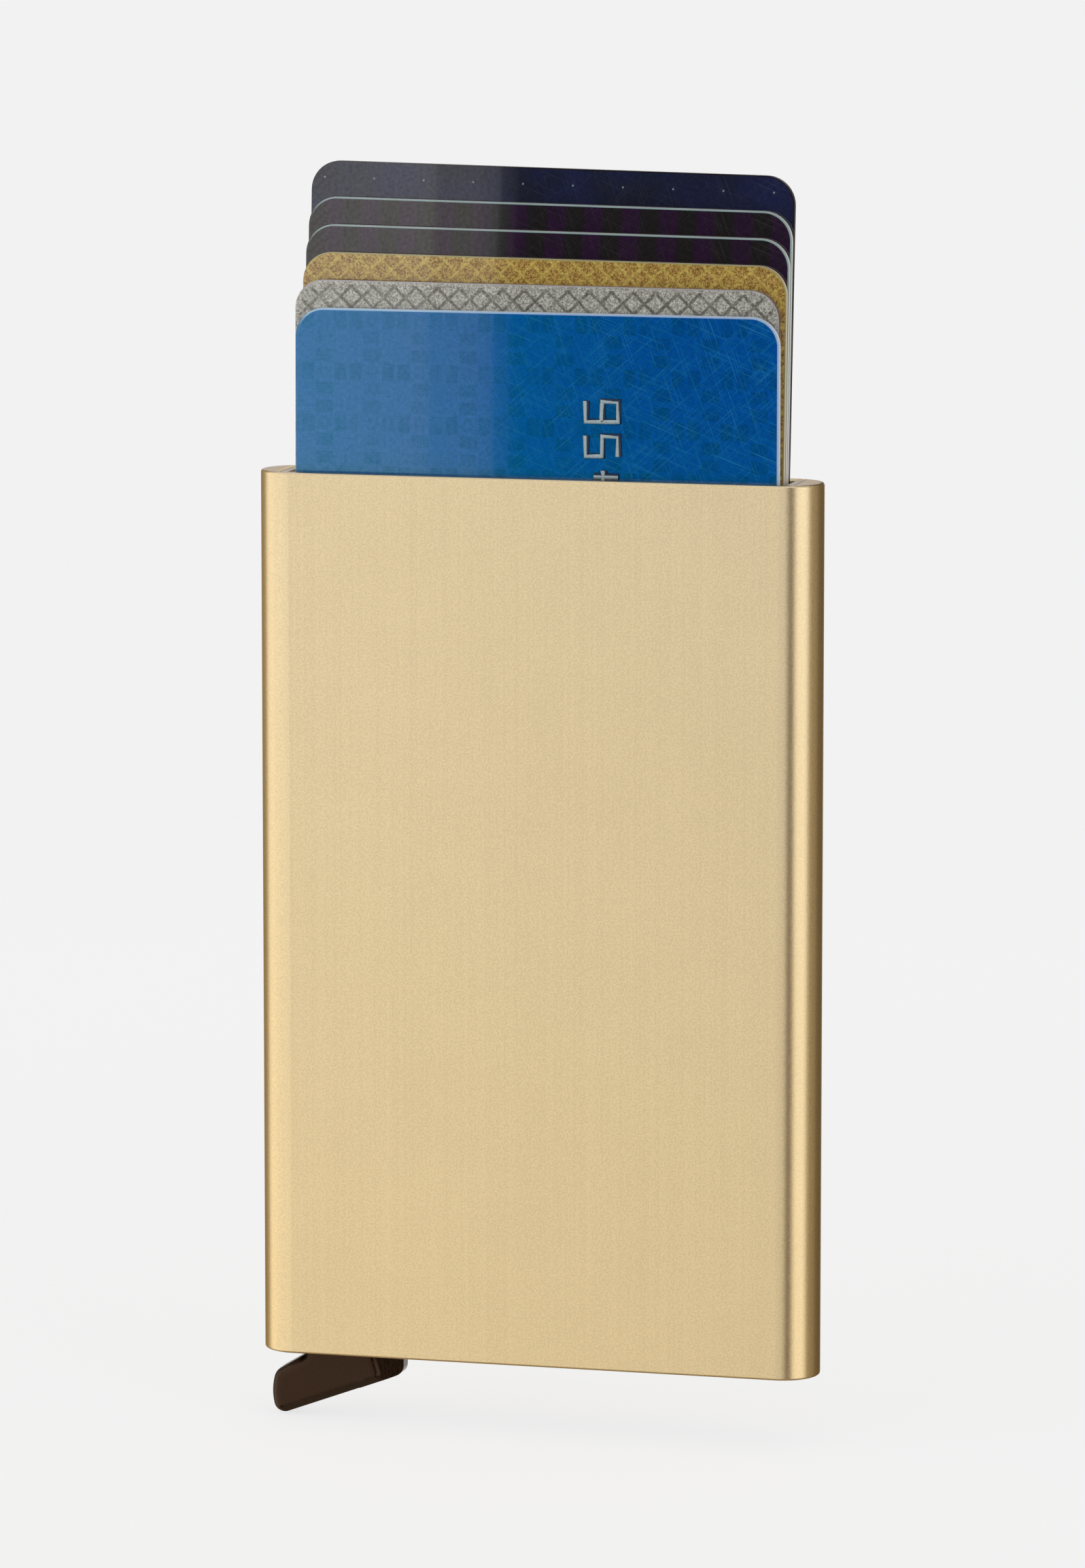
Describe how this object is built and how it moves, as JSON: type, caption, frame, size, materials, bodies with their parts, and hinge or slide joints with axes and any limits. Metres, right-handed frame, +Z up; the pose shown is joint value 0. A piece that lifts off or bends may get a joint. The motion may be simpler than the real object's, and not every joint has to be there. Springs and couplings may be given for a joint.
{
  "type": "pop up card holder",
  "caption": "Pop up card holder: flat champagne aluminium tube with a brown push lever at the bottom that lifts a fanned stack of pocket cards",
  "frame": {"origin": "centre of the flat back face of the case", "axes": "+Z up along the case to the mouth where the cards come out, +Y out of the back face, +X to the right seen from the front"},
  "size_m": [0.063, 0.0082, 0.1389],
  "materials": {
    "case_metal": "bead blasted and anodised champagne gold",
    "carrier_plastic": "fine moulded texture",
    "lever_plastic": "fine spark-eroded grain",
    "pin_steel": "ground",
    "guide_plastic": "smooth",
    "pad_felt": "short felt",
    "card_blue": "laminated print",
    "card_silver": "laminated metallic print",
    "card_gold": "laminated metallic print",
    "card_black": "laminated print",
    "card_navy": "laminated print",
    "chip_contact": "gold-plated contacts"
  },
  "bodies": {
    "case": {"case_tube": "case_metal", "lever_carrier": "carrier_plastic", "pivot_pin": "pin_steel", "left_card_guide": "guide_plastic", "right_card_guide": "guide_plastic", "front_grip_pads": "pad_felt", "rear_grip_pads": "pad_felt"},
    "lever": {"ejector_lever": "lever_plastic"},
    "blue_card": {"card_blue": "card_blue", "chip_blue": "chip_contact"},
    "silver_card": {"card_silver": "card_silver", "chip_silver": "chip_contact"},
    "gold_card": {"card_gold": "card_gold", "chip_gold": "chip_contact"},
    "black_front_card": {"card_black_front": "card_black", "chip_black_front": "chip_contact"},
    "black_rear_card": {"card_black_rear": "card_black", "chip_black_rear": "chip_contact"},
    "navy_card": {"card_navy": "card_navy", "chip_navy": "chip_contact"}
  },
  "joints": [
    {"name": "lever_swing", "type": "hinge", "parent": "case", "child": "lever", "pos_m": [-0.0245, -0.0041, -0.043], "axis": [0, -1, 0], "range_deg": [0, 55]},
    {"name": "blue_card_slide", "type": "slide", "parent": "case", "child": "blue_card", "axis": [0, 0, 1], "range_m": [-0.0189, 0.0757]},
    {"name": "silver_card_slide", "type": "slide", "parent": "case", "child": "silver_card", "axis": [0, 0, 1], "range_m": [-0.0218, 0.0727]},
    {"name": "gold_card_slide", "type": "slide", "parent": "case", "child": "gold_card", "axis": [0, 0, 1], "range_m": [-0.0246, 0.07]},
    {"name": "black_front_card_slide", "type": "slide", "parent": "case", "child": "black_front_card", "axis": [0, 0, 1], "range_m": [-0.0275, 0.0671]},
    {"name": "black_rear_card_slide", "type": "slide", "parent": "case", "child": "black_rear_card", "axis": [0, 0, 1], "range_m": [-0.0304, 0.0642]},
    {"name": "navy_card_slide", "type": "slide", "parent": "case", "child": "navy_card", "axis": [0, 0, 1], "range_m": [-0.0342, 0.0604]}
  ]
}
